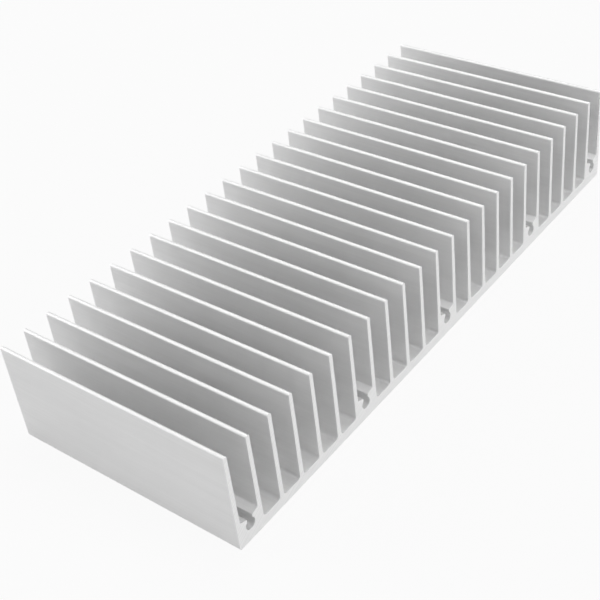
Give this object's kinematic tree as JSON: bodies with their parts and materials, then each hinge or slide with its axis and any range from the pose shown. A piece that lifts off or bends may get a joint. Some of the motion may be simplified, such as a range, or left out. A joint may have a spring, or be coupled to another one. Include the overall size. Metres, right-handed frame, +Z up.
{
  "type": "extruded heat sink",
  "caption": "Straight-finned extruded heat sink: a flat plate with thin parallel fins on one side and C-shaped screw channels between some of them.",
  "frame": {"origin": "middle of the flat underside", "axes": "+X across the fins, +Y along the extrusion, +Z up the fins; the sawn ends face -Y and +Y"},
  "size_m": [0.15, 0.06, 0.025],
  "materials": {
    "aluminium": "mill finish as extruded, with sawn ends"
  },
  "bodies": {
    "root": {"heat_sink": "aluminium"}
  },
  "joints": []
}
